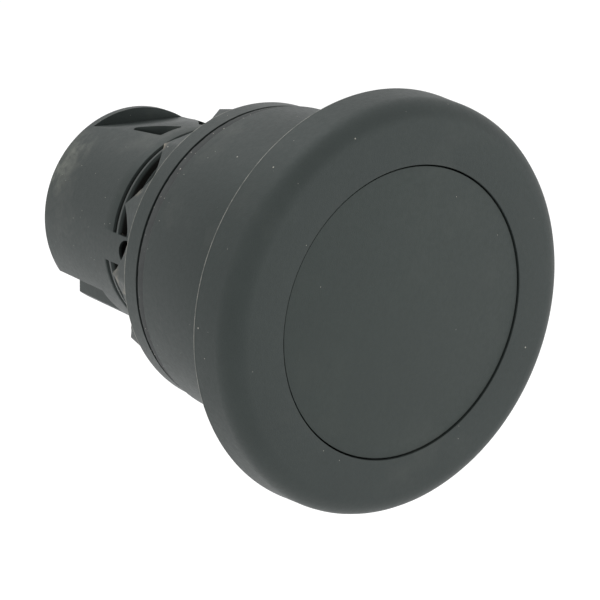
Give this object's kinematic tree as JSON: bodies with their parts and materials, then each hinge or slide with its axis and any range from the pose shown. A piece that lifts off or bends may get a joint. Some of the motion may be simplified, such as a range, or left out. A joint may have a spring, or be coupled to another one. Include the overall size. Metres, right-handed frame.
{
  "type": "push button",
  "caption": "Mushroom-head push button operator with a round bezel, gasket, threaded barrel and crown-shaped mounting nut for a standard round panel hole.",
  "frame": {"origin": "on the button's axis, in the plane where the gasket meets the front of the panel", "axes": "+Y along the barrel, away from the head, into the cabinet; +Z towards the flat on top of the barrel; +X to the right seen from the front"},
  "size_m": [0.04, 0.0472, 0.04],
  "materials": {
    "black_plastic": "fine spark-eroded texture, charcoal black",
    "inner_plastic": "smooth moulded, dark grey",
    "rubber": "matt black",
    "steel": "plain zinc-plated steel"
  },
  "bodies": {
    "housing": {"bezel": "black_plastic", "wiper_seal": "rubber", "seal_retainer": "inner_plastic", "bezel_seal": "rubber", "panel_gasket": "rubber", "barrel": "black_plastic", "spring_seat": "steel", "guide_sleeve": "inner_plastic", "front_bush": "inner_plastic", "rear_bush": "inner_plastic", "retaining_ring": "steel", "return_spring": "steel"},
    "button": {"mushroom_head": "black_plastic", "front_disc": "black_plastic", "head_screw": "steel", "head_washer": "steel", "stem": "inner_plastic", "stop_bumper": "rubber", "stop_clip": "steel", "rear_pusher": "inner_plastic", "pusher_screw": "steel"},
    "nut_carrier": {"thrust_washer": "steel"},
    "nut": {"mounting_nut": "black_plastic"}
  },
  "joints": [
    {"name": "button_press", "type": "slide", "parent": "housing", "child": "button", "axis": [0, 1, 0], "range_m": [0, 0.0045], "stiffness_N_per_m": 900, "springref_m": -0.004, "deforming": ["return_spring"]},
    {"name": "nut_travel", "type": "slide", "parent": "housing", "child": "nut_carrier", "axis": [0, 1, 0], "range_m": [0, 0.006]},
    {"name": "nut_spin", "type": "hinge", "parent": "nut_carrier", "child": "nut", "pos_m": [0, 0, 0], "axis": [0, 1, 0], "range_deg": [0, 1440]}
  ],
  "couplings": [
    {"joint": "nut_travel", "follows": "nut_spin", "m_per_rad": 0.00023873}
  ]
}
